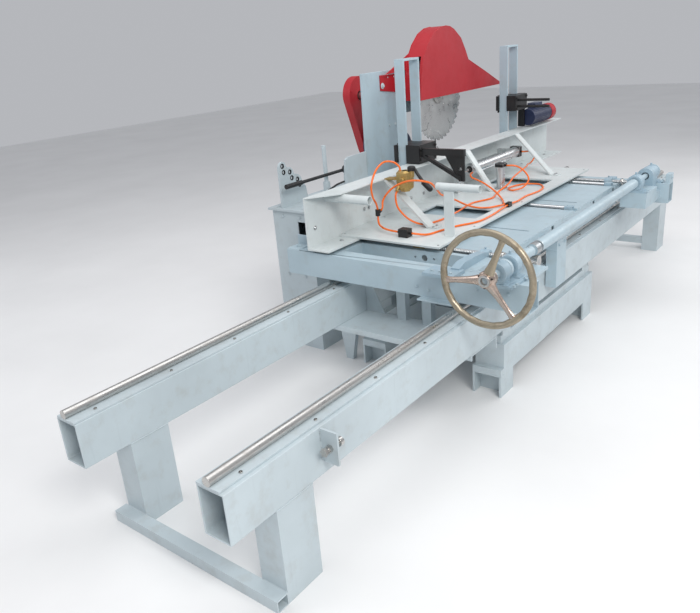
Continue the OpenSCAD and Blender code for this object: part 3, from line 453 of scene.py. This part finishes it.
# ---------------------------------------------------------------- lead screws with thread and gears
for node, y, body in (("near_lead_screw", 1555, "near_lead_screw"), ("far_lead_screw", 3200, "far_lead_screw")):
    mb = MB()
    z, n = 690, 24
    pitch = 8.0
    step = pitch / 7
    x = -392.0
    rings = []
    while x <= 562:
        rings.append(x)
        x += step if -388 < x < 285 or 332 < x < 380 or 404 < x < 512 else 3.0
    vs, fs = [], []
    for x in rings:
        thread = -388 < x < 286 or 331 < x < 382 or 404 < x < 510
        for j in range(n):
            th = 2 * math.pi * j / n
            r = 11.95
            if thread:
                u = (x / pitch - th / (2 * math.pi)) % 1
                r = 11.95 if u < 0.36 else 10.3 if 0.5 < u < 0.86 else (11.95 - (u - 0.36) / 0.14 * 1.65 if u <= 0.5 else 10.3 + (u - 0.86) / 0.14 * 1.65)
            if x in (rings[0], rings[-1]):
                r = min(r, 10.8)
            vs.append(Vector((x, y + r * math.cos(th), z + r * math.sin(th))) / 1000)
    for i in range(len(rings) - 1):
        for j in range(n):
            fs.append((i * n + j, i * n + (j + 1) % n, (i + 1) * n + (j + 1) % n, (i + 1) * n + j))
    fs.append(tuple(range(n - 1, -1, -1)))
    fs.append(tuple((len(rings) - 1) * n + j for j in range(n)))
    mb.add(vs, fs, 0)
    # collar with a set screw
    mb.lathe((384, y, z), (1, 0, 0), [(0, 12), (0, 18.8), (1.2, 20), (16.8, 20), (18, 18.8), (18, 12)], 48, 1, cap=False)
    mb.bolt((393, y, z + 19.2), (0, 0, 1), 3.2, 2.2, False, 2)
    # helical gear
    T, n = 20, 160
    vs, fs = [], []
    xs = [514 + 46 * i / 12 for i in range(13)]
    for x in xs:
        for j in range(n):
            th = 2 * math.pi * j / n
            u = (T * (th / (2 * math.pi)) + (x - 514) / 46 * 3.2) % 1
            r = 26.0 - 2.8 * (0.5 - 0.5 * math.cos(2 * math.pi * u)) ** 1.4
            vs.append(Vector((x, y + r * math.cos(th), z + r * math.sin(th))) / 1000)
    for i in range(12):
        for j in range(n):
            fs.append((i * n + j, i * n + (j + 1) % n, (i + 1) * n + (j + 1) % n, (i + 1) * n + j))
    fs.append(tuple(range(n - 1, -1, -1)))
    fs.append(tuple(12 * n + j for j in range(n)))
    mb.add(vs, fs, 1)
    o = mb.obj(node + "_visual", ["zinc", "steel_bright", "dark"], body, angle=50)
    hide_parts(node)

# ---------------------------------------------------------------- bolts, welds and small detail, by body
base = MB()
wb = MB()
for s in (-1, 1):
    for y0, y1 in ((25, 191), (4080, 4246)):
        for x0, x1 in ((300, 410),):
            for xx in (x0, x1):
                wb.weld_bead((s * xx, y0, 349), (s * xx, y1, 349))
            for yy in (y0, y1):
                wb.weld_bead((s * x0, yy, 349), (s * x1, yy, 349))
wb.weld_bead((-409, 25, 44), (-301, 25, 44))
wb.weld_bead((301, 25, 44), (409, 25, 44))
for x0, x1 in ((-409, -301), (301, 409)):
    wb.weld_bead((x0, 1228, 349.5), (x1, 1228, 349.5))
for x0, x1 in ((-96, -46), (46, 96)):
    wb.weld_bead((x0, 1424, 351), (x1, 1424, 351), 2.8)
    wb.weld_bead((x1, 1424, 351), (x1, 1464, 351), 2.8)
wb.weld_bead((188, 1452, 351), (299, 1452, 351), 2.6)
wb.weld_bead((-299, 1452, 351), (-188, 1452, 351), 2.6)
for s in (-1, 1):
    for y in (1580, 1670, 2600, 2690):
        wb.weld_bead((s * 380, y, 301), (s * 380, y, 349), 2.8)
    wb.weld_bead((s * 400, 1526, 111), (s * 400, 1558, 111), 2.8)
    wb.weld_bead((s * 263, 1526, 108.5), (s * 390, 1526, 108.5), 2.8)
wb.weld_bead((418, 246, 403), (476, 246, 403), 2.2)
wb.weld_bead((410.5, 246, 403), (410.5, 246, 515), 2.4)
wb.weld_bead((-800, 1985, 805), (-800, 2546, 805))
wb.weld_bead((-800, 2204.5, 806), (-800, 2204.5, 1000), 2.4)
wb.weld_bead((-812, 2440, 806), (-812, 2440, 1418), 2.8)
wb.obj("base_welds", "paint_grey", "base", angle=60)
# bolts of the near legs and of the cabinet
for (x, y) in ((-780, 1545), (-900, 1545)):
    for z in (60, 430, 760):
        base.bolt((x, y, z), (0, -1, 0), 7, 5)
for y in (1600, 1900, 2250, 2600, 3040):
    base.bolt((-700, y, 760), (1, 0, 0), 7, 5)
for (y, z) in ((2240, 830), (2510, 830), (2030, 835), (2170, 835)):
    base.bolt((-800, y, z), (1, 0, 0), 8, 6)
for y in (2462, 2526):
    for z in (900, 1120, 1400):
        base.bolt((-800, y, z), (1, 0, 0), 6, 4.5)
for z in (1215, 1315):
    base.bolt((-812, 2600, z), (1, 0, 0), 9, 7)
    base.bolt((-812, 2710, z), (1, 0, 0), 9, 7)
base.bolt((-794, 2402, 1356), (1, 0, 0), 11, 8)
for (x, y) in ((-760, 1560), (-940, 1560), (-730, 2160), (-730, 3080)):
    base.bolt((x, y, 804), (0, 0, 1), 8, 6)
base.obj("base_bolts", "paint_grey", "base", angle=30)
# dark rings round the holes of the stepped plate
tr = MB()
tr.tube([(-806, 1996, 868), (-812, 1975, 866), (-826, 1940, 858), (-838, 1880, 838), (-842, 1850, 822)], [5.5, 5.5, 5.5, 5.5, 5.5], 12, 0)
tr.obj("thin_rod", "paint_black", "base", angle=40)
rg = MB()
for p in ((1574, 1026), (1580, 992), (1628, 986), (1640, 952), (1684, 936), (1698, 904)):
    rg.lathe((-894, p[0], p[1]), (1, 0, 0), [(-6, 8.6), (0.2, 8.6), (1.8, 9.6), (2.2, 12), (1.2, 13.6), (0.1, 13.8)], 32, 0, cap=False)
rg.obj("plate_hole_rims", "paint_black", "base", angle=45)
# hood rolled edges, one thin tube along each side of the hood outline
hd = MB()
hood = [(2581, 1256), (2599, 1397), (2625, 1491), (2681, 1567), (2754, 1626), (2827, 1654), (2900, 1662), (2952, 1656), (2999, 1639), (3087, 1583), (3144, 1507), (3183, 1446), (3417, 1356), (3650, 1262)]
hd.tube([(-642, y, z) for y, z in hood], [2.6] * len(hood), 10, 0)
hd.tube([(-758, y, z) for y, z in hood], [2.6] * len(hood), 10, 0)
hd.obj("hood_rolled_edge", ["paint_red", "zinc"], "base", angle=50)
# back plate of the upper belt guard, with holes for the spindle and the motor shaft
g0, g1, gr0, gr1 = Vector((2832, 1273)), Vector((2915, 915)), 119.6, 71.6
gd = (g1 - g0).normalized()
gn = Vector((-gd.y, gd.x))
tilt = math.acos((gr0 - gr1) / (g1 - g0).length)
rim = []
for i in range(49):
    a = tilt + (2 * math.pi - 2 * tilt) * i / 48
    rim.append(g0 + (gd * math.cos(a) + gn * math.sin(a)) * gr0)
for i in range(33):
    a = -tilt + 2 * tilt * i / 32
    rim.append(g1 + (gd * math.cos(a) + gn * math.sin(a)) * gr1)
loops = [rim]
for (hy, hz), hr in (((2832, 1265), 32), ((2915, 915), 26)):
    loops.append([Vector((hy + hr * math.cos(2 * math.pi * i / 40), hz - hr * math.sin(2 * math.pi * i / 40))) for i in range(40)])
flat_ = [p for lp in loops for p in lp]
tris = tessellate_polygon([[Vector((p.x, p.y, 0)) for p in lp] for lp in loops])
vs = [(x / 1000, p.x / 1000, p.y / 1000) for x in (-1290.4, -1287.4) for p in flat_]
m_ = len(flat_)
fs = []
for a, b, c in tris:
    up = (flat_[b] - flat_[a]).cross(flat_[c] - flat_[a]) > 0
    a, b, c = (a, b, c) if up else (a, c, b)
    fs += [(a, c, b), (m_ + a, m_ + b, m_ + c)]
k_ = 0
for lp in loops:
    n_ = len(lp)
    ccw = sum(lp[i].cross(lp[(i + 1) % n_]) for i in range(n_)) > 0
    if lp is not rim:
        ccw = not ccw
    for i in range(n_):
        p, q = k_ + i, k_ + (i + 1) % n_
        fs.append((p, q, m_ + q, m_ + p) if ccw else (q, p, m_ + p, m_ + q))
    k_ += n_
gp = MB()
gp.add(vs, fs, 0)
for y, z in ((2732, 1300), (2930, 1290), (2870, 860), (2975, 900)):
    gp.bolt((-1287.4, y, z), (1, 0, 0), 5, 4, False)
gp.obj("guard_back_plate", "paint_red", "base", angle=30)
# far end of the bed: near guide bar ends
re_ = MB()
for x in (347, -363):
    re_.lathe((x, -156.2, 542), (0, -1, 0), [(0, 15.8), (0.1, 15.0), (0.4, 12), (-1.2, 8), (-1.4, 0.4)], 40, 0)
re_.obj("guide_bar_ends", "steel_bright", "base", angle=50)
# strip screw sockets
sc = MB()
for i in range(14):
    for x in (381, -394, -325, 314):
        sc.lathe((x, -60 + 325 * i, 532), (0, 0, 1), [(-0.6, 5.6), (0.35, 5.4), (0.5, 3.2), (-1.4, 3.0), (-1.5, 0.2)], 12, 0)
sc.obj("strip_screw_sockets", "dark", "base", angle=50)
# motor ribs, cowls and cable boxes
mo = MB()
for x0, x1, c, foot in ((-1284, -1000, (2915, 915), 792), (-1290, -1030, (2900, 262), 148)):
    for k in range(36):
        a = 2 * math.pi * k / 36
        if math.sin(a) < -0.55 or math.sin(a) > 0.86:
            continue
        cy_, cz_ = c[0] + 94 * math.cos(a), c[1] + 94 * math.sin(a)
        dy, dz = math.cos(a), math.sin(a)
        p0, p1 = Vector((x0 + 50, cy_, cz_)), Vector((x1 - 50, cy_, cz_))
        n_ = Vector((0, dy, dz))
        t_ = Vector((0, -dz, dy)) * 1.5
        vv = [p0 - t_ - n_ * 2, p0 + t_ - n_ * 2, p0 + t_ * 0.6 + n_ * 9, p0 - t_ * 0.6 + n_ * 9]
        vv += [p1 - t_ - n_ * 2, p1 + t_ - n_ * 2, p1 + t_ * 0.6 + n_ * 9, p1 - t_ * 0.6 + n_ * 9]
        mo.add([v / 1000 for v in vv], [(0, 3, 2, 1), (4, 5, 6, 7), (0, 1, 5, 4), (1, 2, 6, 5), (2, 3, 7, 6), (3, 0, 4, 7)], 0)
    for xe, d in ((x0, 1), (x1, -1)):
        mo.lathe((xe, c[0], c[1]), (d, 0, 0), [(0.2, 40), (0.2, 88), (2, 96), (5, 99), (40, 99), (42, 95)], 48, 0, cap=False)
    mo.slab((x0 + 66, c[0] - 54, c[1] + 119), (x1 - 66, c[0] + 54, c[1] + 127), 2.5)
mo.obj("motor_ribs", "motor_blue", "base", angle=30)

car = MB()
cw = MB()
# crossbeam face bolts and heads
for x, z in ((130, 610), (190, 600), (420, 640), (560, 640)):
    car.bolt((x, 1259, z), (0, -1, 0), 6, 4.5)
for x, y in ((230, 1226), (270, 1226), (320, 1226)):
    car.bolt((x, y, 702), (0, 0, 1), 7, 6)
for x in (545 - 79, 529 + 79):
    for y in (1206, 1232, 1312, 1334):
        car.bolt((x + (4 if x < 537 else 0), y, 697), (0, 0, 1), 6, 5)
    for y in (2950, 2982, 3250, 3276):
        car.bolt((x, y, 696), (0, 0, 1), 6, 5)
for y in (2465, 3100):
    for x in (329, 355):
        car.bolt((x, y + 14, 703), (0, 0, 1), 4, 3, False)
        car.bolt((x, y - 14, 703), (0, 0, 1), 4, 3, False)
car.bolt((-582, 1298, 694), (0, 0, 1), 7, 5)
car.bolt((657, 3275, 720), (1, 0, 0), 8, 6)
for y in (1640, 1900, 2300, 2700, 3060):
    car.bolt((377, y, 610), (1, 0, 0), 6, 4.5)
for y, z in ((2010, 627), (2080, 627)):
    car.bolt((470, y, z), (1, 0, 0), 6, 4.5)
car.obj("carriage_bolts", "paint_blue", "carriage", angle=30)
cw.weld_bead((-393, 1348, 674), (378, 1348, 674), 2.6)
cw.weld_bead((377.5, 1349, 575), (377.5, 1349, 672), 2.8)
cw.weld_bead((377.5, 3229, 575), (377.5, 3229, 672), 2.8)
cw.weld_bead((415, 1986, 603), (470, 1986, 603), 2.6)
cw.weld_bead((378, 1986, 649), (378, 2105, 649), 2.6)
for y0, y1 in ((1520, 1525), (1585, 1640), (1800, 1860), (2040, 2110), (2300, 2360), (2500, 2560), (2700, 2760), (2900, 2960)):
    cw.weld_bead((378.3, y0, 677), (378.3, y1, 677), 2.2)
cw.obj("carriage_welds", "paint_blue", "carriage", angle=60)
# oil cups and flange rings on the pedestals
pd = MB()
for y0, y1 in ((1190, 1250), (1300, 1346), (2936, 2996), (3236, 3290)):
    pd.lathe((SX, y0 + 6, SZ), (0, -1, 0), [(-0.5, 44), (2.5, 43.4), (4, 40), (4.4, 30), (2.6, 27.5), (2.6, 21)], 56, 0, cap=False)
    pd.lathe((SX, y1 - 6, SZ), (0, 1, 0), [(-0.5, 44), (2.5, 43.4), (4, 40), (4.4, 30), (2.6, 27.5), (2.6, 21)], 56, 0, cap=False)
    pd.lathe((SX, (y0 + y1) / 2, SZ + 42), (0, 0, 1), [(0, 9), (3, 8.5), (4, 5), (10, 5), (11, 6.5), (15, 6.5), (16.5, 4), (16.8, 0.3)], 24, 0)
for y in (1555, 3200):
    pd.lathe((310, y, 712), (0, 0, 1), [(0, 7), (2, 6.4), (3, 4), (7, 4), (8, 5), (11, 5), (12, 3), (12.2, 0.3)], 20, 0)
    pd.lathe((290, y, 690), (-1, 0, 0), [(-0.5, 24), (1.6, 23), (2.4, 18), (2.4, 12.6)], 40, 0, cap=False)
    pd.lathe((330, y, 690), (1, 0, 0), [(-0.5, 24), (1.6, 23), (2.4, 18), (2.4, 12.6)], 40, 0, cap=False)
pd.obj("bearing_rings", "cast_paint", "carriage", angle=45)

sh = MB()
for y in (1410, 1500, 2915, 3002):
    sh.bolt((SX, y, SZ + (21.6 if y < 2000 else 26.4)), (0, 0, 1), 3.4, 2.6, False)
for y, r in ((1592, 27.05), (2926, 27.05)):
    sh.lathe((SX, y, SZ), (0, 1 if y > 2000 else -1, 0), [(-3, r), (-0.5, r + 0.05), (0.6, r - 1.6), (0.7, r - 6)], 48, 0, cap=False)
n, T = 160, 20
for ya, yb in ((1532, 1578), (3177, 3223)):
    vs, fs = [], []
    ys = [ya + (yb - ya) * i / 12 for i in range(13)]
    for y in ys:
        for j in range(n):
            th = 2 * math.pi * j / n
            u = (T * (th / (2 * math.pi)) + (y - ya) / 46 * 3.2) % 1
            r = 26.9 - 0.5 * (0.5 - 0.5 * math.cos(2 * math.pi * u))
            vs.append(Vector((SX + r * math.cos(th), y, SZ + r * math.sin(th))) / 1000)
    for i in range(12):
        for j in range(n):
            fs.append((i * n + j, i * n + (j + 1) % n, (i + 1) * n + (j + 1) % n, (i + 1) * n + j))
    sh.add(vs, fs, 0)
sh.obj("shaft_detail", "zinc", "link_shaft", angle=40)

tb = MB()
tw = MB()
for y in (1300, 1700, 1740):
    tb.bolt((-460, y, 800), (1, 0, 0), 7, 5)
for y in (1420, 1800, 2100, 2700, 3000, 3500, 3900):
    tb.bolt((-400, y, 712), (0, 0, 1), 7, 5)
for x, y in ((-74, 1748), (-74, 1780), (-158, 2592), (-158, 2620), (-10, 3136), (-10, 3164)):
    tb.bolt((x, y, 728), (0, 0, 1), 5, 4)
for y in (2148, 2283, 3414, 3550):
    tb.bolt((-460.2, y, 760), (1, 0, 0), 7, 5)
for x in (-180, -140):
    for y in (2655, 2695):
        tb.bolt((x, y, 734), (0, 0, 1), 4, 3.4, False)
for x in (100, -440):
    for y in (1500, 1850, 2400, 3350):
        tb.bolt((x, y, 722), (0, 0, 1), 5, 3, False, 0, False)
tb.obj("table_bolts", "zinc", "table", angle=30)
tw.weld_bead((46, 1650, 723), (98, 1650, 723), 2.6)
tw.weld_bead((-460, 1404, 905), (-460, 1425, 914), 2.4)
tw.weld_bead((-466, 2136, 720), (-466, 2136, 940), 2.4)
tw.weld_bead((-466, 2295, 720), (-466, 2295, 940), 2.4)
tw.weld_bead((-466, 3402, 720), (-466, 3402, 940), 2.4)
tw.weld_bead((-350, 1737, 950), (-350, 1791, 950), 2.4)
tw.obj("table_welds", "paint_cream", "table", angle=60)
# long cylinder: tie rods, end cap seams and groove
cl = MB()
for dx, dz in ((-26, 26), (26, 26), (-26, -26), (26, -26)):
    cl.tube([(-330 + dx * 0.92, 2638, 845 + dz * 0.92), (-330 + dx * 0.92, 3232, 845 + dz * 0.92)], [3, 3], 12, 0)
for y in (2640, 2646, 3224, 3229):
    cl.lathe((-330, y, 845), (0, 1, 0), [(0, 32), (0, 33.4), (2.6, 33.4), (2.6, 32)], 48, 0, cap=False)
cl.lathe((-330, 2600.5, 845), (0, -1, 0), [(0, 20), (3, 19.4), (4, 16), (4, 9.4)], 40, 1, cap=False)
cl.obj("cylinder_tie_rods", ["cylinder_alu", "paint_black"], "table", angle=40)
lc = MB()
for z in (737, 742, 842, 847):
    lc.lathe((-160, 2675, z), (0, 0, 1), [(0, 25), (0, 26.2), (2.4, 26.2), (2.4, 25)], 48, 0, cap=False)
lc.obj("lock_cylinder_rings", "cylinder_alu", "table", angle=40)
# black caps over the ends of the upright cylinder and the long cylinder
bc = MB()
bc.slab((-187.8, 2647.2, 853), (-132.2, 2702.8, 877), 3)
bc.slab((-364.8, 3229.4, 810.4), (-295.4, 3270.8, 879.6), 3)
bc.obj("cylinder_caps", "paint_black", "table", angle=35)
# valve: nut faces and bleed screw
vv_ = MB()
vv_.lathe((-240, 1764, 992), (0, 0, 1), [(0, 40), (3, 38), (4, 30), (7, 28), (7.4, 14)], 8, 0, cap=False, phase=0.39)
vv_.lathe((-240, 1764, 918), (0, 0, -1), [(0, 44), (3, 41), (6, 34), (16, 30), (20, 22), (22, 10)], 8, 0, cap=True, phase=0.39)
vv_.lathe((-226, 1716, 962), (0, -1, 0), [(0, 8.2), (0, 11.5), (5, 11.5), (6.5, 9), (8.0, 8.8), (8.2, 0.4)], 6, 0, cap=False)
vv_.lathe((-256, 1713.1, 908.1), (0, -0.7071, -0.7071), [(0, 8.2), (0, 11.5), (4.4, 11.5), (5.8, 9.4), (6.6, 9.0), (6.8, 5.2)], 6, 0, cap=False)
vv_.lathe((-268, 1764, 990), (0, 0, 1), [(0, 8), (0, 11.5), (6, 11.5), (8, 9.4), (9.6, 9.0), (9.8, 5.2)], 6, 0, cap=False)
vv_.bolt((-300, 1764, 958.5), (0, 0, 1), 5, 4)
vv_.obj("valve_nuts", "brass", "table", angle=30)
lv = MB()
lv.lathe((-200, 1764, 1017.5), (0, 0, 1), [(0, 20), (2, 19), (5, 14), (6.4, 7), (6.6, 0.4)], 32, 0)
for k in range(6):
    t = k / 5
    p = Vector((-132, 1764, 945)).lerp(Vector((-100, 1764, 918)), t)
    d = (Vector((-96, 1764, 915)) - Vector((-130, 1764, 944))).normalized()
    lv.lathe(p, d, [(-1.4, 13.2), (-1, 14.3), (1, 14.3), (1.4, 13.2)], 28, 0, cap=False)
lv.obj("lever_grip_ribs", "paint_black", "valve_lever", angle=40)

cb = MB()
for z in (980, 1040):
    for y in (2138, 2294):
        cb.bolt((-380, y, z), (1, 0, 0), 7, 6)
cb.weld_bead((-380, 2143, 1006), (-380, 2143, 1042), 2.6)
cb.weld_bead((-380, 2169, 1006), (-380, 2169, 1042), 2.6)
cb.lathe((-140, 2150, 939), (0, -1, 0), [(-1, 9.2), (2.2, 9.6), (2.6, 14), (1.4, 17), (-1, 17.4)], 32, 0, cap=False)
for k in range(5):
    z = 968 + 20 * k
    cb.slab((-574, 2198, z), (-560, 2232, z + 9), 1.5)
cb.obj("near_clamp_detail", "paint_black", "near_clamp", angle=30)
fb = MB()
for z in (1105, 1175):
    for y in (3404, 3560):
        fb.bolt((-400, y, z), (1, 0, 0), 7, 6)
for k in range(28):
    a = 2 * math.pi * k / 28
    dy = Vector((math.cos(a), 0, math.sin(a)))
    t_ = Vector((-math.sin(a), 0, math.cos(a))) * 1.3
    p0, p1 = Vector((-400, 3607, 1024)) + dy * 54, Vector((-400, 3882, 1024)) + dy * 54
    vv = [p0 - t_, p0 + t_, p0 + t_ * 0.6 + dy * 4.6, p0 - t_ * 0.6 + dy * 4.6, p1 - t_, p1 + t_, p1 + t_ * 0.6 + dy * 4.6, p1 - t_ * 0.6 + dy * 4.6]
    fb.add([v / 1000 for v in vv], [(0, 1, 2, 3), (7, 6, 5, 4), (4, 5, 1, 0), (5, 6, 2, 1), (6, 7, 3, 2), (7, 4, 0, 3)], 1)
fb.lathe((-400, 3894, 1024), (0, 1, 0), [(-4, 56), (0, 59.2), (62, 59.2), (68, 56.5), (70, 50)], 48, 2, cap=False)
fb.lathe((-400, 3960, 1024), (0, 1, 0), [(2.2, 50), (3, 44), (2.4, 0.5)], 48, 0, cap=False)
fb.obj("far_clamp_detail", ["paint_black", "motor_blue", "paint_red"], "far_clamp", angle=30)

# blades: carbide tips, and expansion slits drawn as thin dark strips, painted shade standing in for the open cuts
for node, c, body in (("upper_blade", (2832, 1265), "upper_arbor"), ("lower_blade", (2680, 680), "lower_arbor")):
    bl = MB()
    for i in range(40):
        a = 2 * math.pi * i / 40
        d = Vector((0, math.cos(a), math.sin(a)))
        t_ = Vector((0, -math.sin(a), math.cos(a)))
        cen = Vector((-674, c[0], c[1])) + d * 284
        vv = []
        for sx in (-2.7, 2.7):
            for sr, st in ((-8, 0.2), (5.6, 0.0), (5.0, 4.2), (-8, 3.4)):
                vv.append((cen + Vector((sx, 0, 0)) + d * sr + t_ * st) / 1000)
        bl.add(vv, [(0, 3, 2, 1), (4, 5, 6, 7), (0, 1, 5, 4), (1, 2, 6, 5), (2, 3, 7, 6), (3, 0, 4, 7)], 0)
    # slits and their end holes: dark strips and discs on both faces, painted shade where the blade is cut through
    for i in range(5):
        a0 = 2 * math.pi * i / 5 + 0.2
        for side in (-676.15, -671.85):
            pts = []
            for k in range(14):
                t = k / 13
                rr = 272 - 70 * t
                aa = a0 + 0.16 * t + 0.05 * math.sin(t * 5)
                pts.append((side, c[0] + rr * math.cos(aa), c[1] + rr * math.sin(aa)))
            bl.tube(pts, [(0.12, 1.3)] * 13 + [(0.12, 3.4)], 8, 1, up=(1, 0, 0))
    bl.obj(node + "_tips", ["carbide", "dark"], body, angle=30)

# ---------------------------------------------------------------- floor, light
fm = bpy.data.meshes.new("floor")
fm.from_pydata([(-14, -10, 0), (14, -10, 0), (14, 18, 0), (-14, 18, 0)], [], [(0, 1, 2, 3)])
mfl, nt, bs, tc = base_tree("mat_floor")
f1 = noise(nt, tc.outputs["Object"], 1.2, 5)
nt.links.new(mix(nt, ramp(nt, f1, 0.3, 0.7), (0.80, 0.80, 0.80, 1), (0.85, 0.85, 0.85, 1)), bs.inputs["Base Color"])
bs.inputs["Roughness"].default_value = 0.75
fm.materials.append(mfl)
floor = bpy.data.objects.new("floor", fm)
bpy.context.scene.collection.objects.link(floor)

world = bpy.data.worlds.new("world")
bpy.context.scene.world = world
world.use_nodes = True
world.node_tree.nodes["Background"].inputs[0].default_value = (0.93, 0.95, 1.0, 1)
world.node_tree.nodes["Background"].inputs[1].default_value = 0.50


def area(name, loc, target, size, power, col=(1, 1, 1)):
    d = bpy.data.lights.new(name, "AREA")
    d.shape = "RECTANGLE"
    d.size, d.size_y = size
    d.energy = power
    d.color = col
    o = bpy.data.objects.new(name, d)
    o.location = loc
    o.rotation_euler = (Vector(target) - Vector(loc)).to_track_quat("-Z", "Y").to_euler()
    bpy.context.scene.collection.objects.link(o)


area("key", (3.8, -1.2, 4.2), (0, 1.9, 0.7), (2.4, 2.0), 185, (1.0, 0.985, 0.96))
area("fill", (-3.8, -1.5, 3.2), (-0.3, 1.8, 0.7), (3.0, 2.6), 40, (0.95, 0.97, 1.0))
area("top", (0.2, 2.4, 5.2), (0, 2.2, 0), (4.0, 5.0), 105)
area("rim", (2.5, 6.8, 3.2), (0, 2.4, 0.8), (3.0, 2.4), 60)
